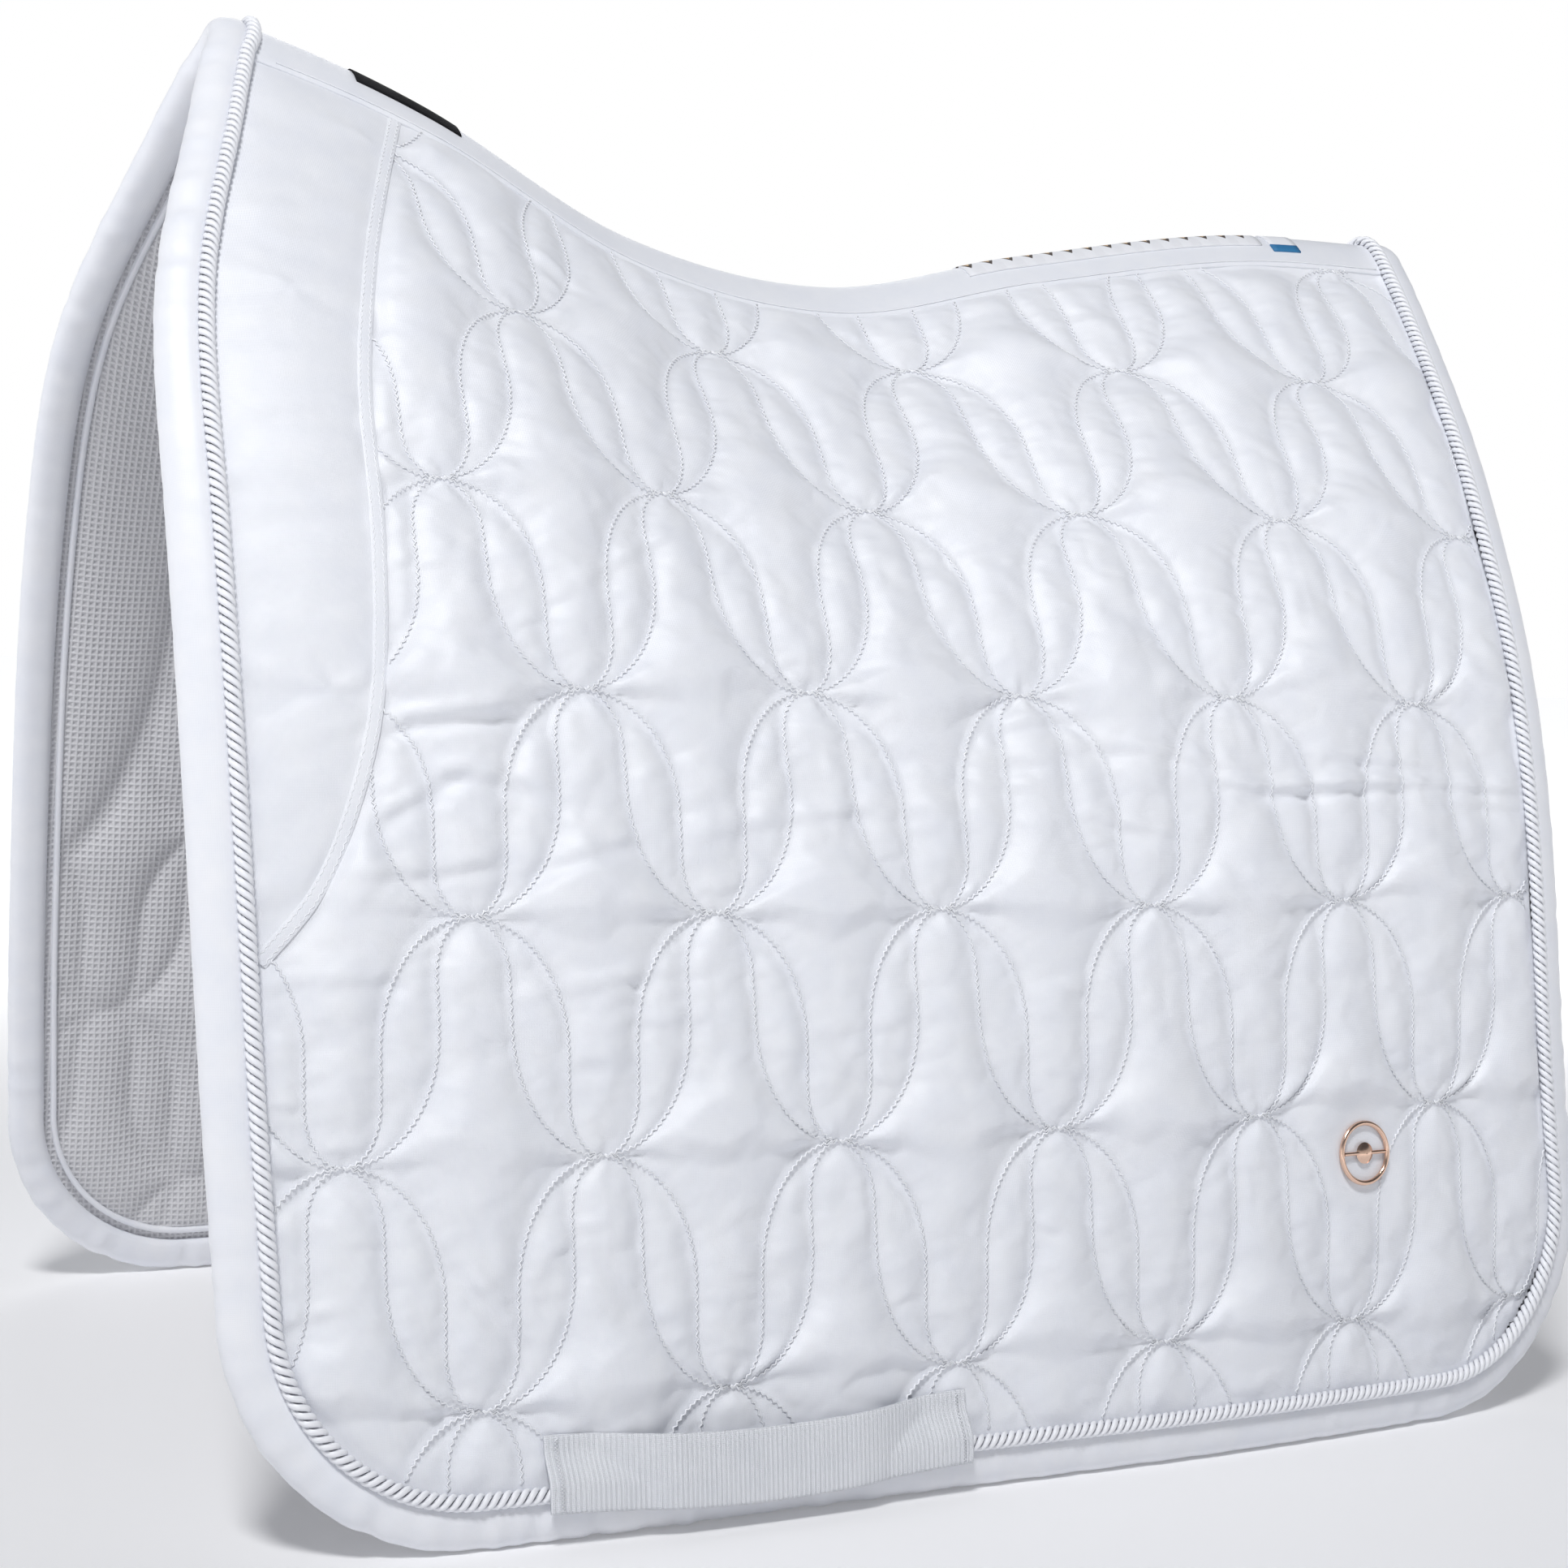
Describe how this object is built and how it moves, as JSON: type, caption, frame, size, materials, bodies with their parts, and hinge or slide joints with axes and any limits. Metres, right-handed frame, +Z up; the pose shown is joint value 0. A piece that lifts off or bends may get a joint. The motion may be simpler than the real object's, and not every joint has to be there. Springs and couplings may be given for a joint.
{
  "type": "saddle pad",
  "caption": "Quilted dressage saddle pad with a contoured spine, plain shoulder panels, twisted cord trim, padded edge binding and webbing girth loops.",
  "frame": {"origin": "centre of the floor area that the pad stands over, on the plane of its lower edges", "axes": "+X towards the horse's tail, -Y the horse's left side, +Z up"},
  "size_m": [0.6581, 0.4832, 0.5841],
  "materials": {
    "satin_cotton": "soft satin sheen, quilted",
    "waffle_lining": "matt waffle weave",
    "edge_binding": "padded satin binding",
    "twisted_cord": "shiny three-strand twist",
    "wadding": "soft filling",
    "webbing": "ribbed webbing",
    "black_label": "woven label",
    "coloured_label": "woven motif",
    "blue_tag": "woven tag",
    "rose_gold": "polished",
    "washer_steel": "stamped"
  },
  "bodies": {
    "spine": {"spine_band": "satin_cotton", "spine_core": "wadding", "spine_tape": "waffle_lining", "front_spine_binding": "edge_binding", "rear_spine_binding": "edge_binding", "front_spine_cord": "twisted_cord", "rear_spine_cord": "twisted_cord", "withers_label": "black_label", "back_label": "coloured_label", "size_tag": "blue_tag"},
    "left_half": {"left_face": "satin_cotton", "left_front_panel": "satin_cotton", "left_panel_piping": "satin_cotton", "left_wadding": "wadding", "left_lining": "waffle_lining", "left_cord": "twisted_cord", "left_binding": "edge_binding", "left_girth_strap": "webbing", "left_strap_tacks": "webbing", "badge_ring": "rose_gold", "badge_emblem": "rose_gold", "badge_prongs": "rose_gold", "badge_washer": "washer_steel"},
    "right_half": {"right_face": "satin_cotton", "right_front_panel": "satin_cotton", "right_panel_piping": "satin_cotton", "right_wadding": "wadding", "right_lining": "waffle_lining", "right_cord": "twisted_cord", "right_binding": "edge_binding", "right_girth_strap": "webbing", "right_strap_tacks": "webbing"}
  },
  "joints": [
    {"name": "left_fold", "type": "hinge", "parent": "spine", "child": "left_half", "pos_m": [0, 0, 0.512], "axis": [-1, 0, 0], "range_deg": [-19, 15], "deforming": ["spine_band", "spine_core", "spine_tape", "front_spine_binding", "rear_spine_binding", "front_spine_cord", "rear_spine_cord", "withers_label", "back_label", "size_tag"]},
    {"name": "right_fold", "type": "hinge", "parent": "spine", "child": "right_half", "pos_m": [0, 0, 0.512], "axis": [1, 0, 0], "range_deg": [-19, 15], "deforming": ["spine_band", "spine_core", "spine_tape", "front_spine_binding", "rear_spine_binding", "front_spine_cord", "rear_spine_cord", "withers_label", "back_label", "size_tag"]}
  ]
}
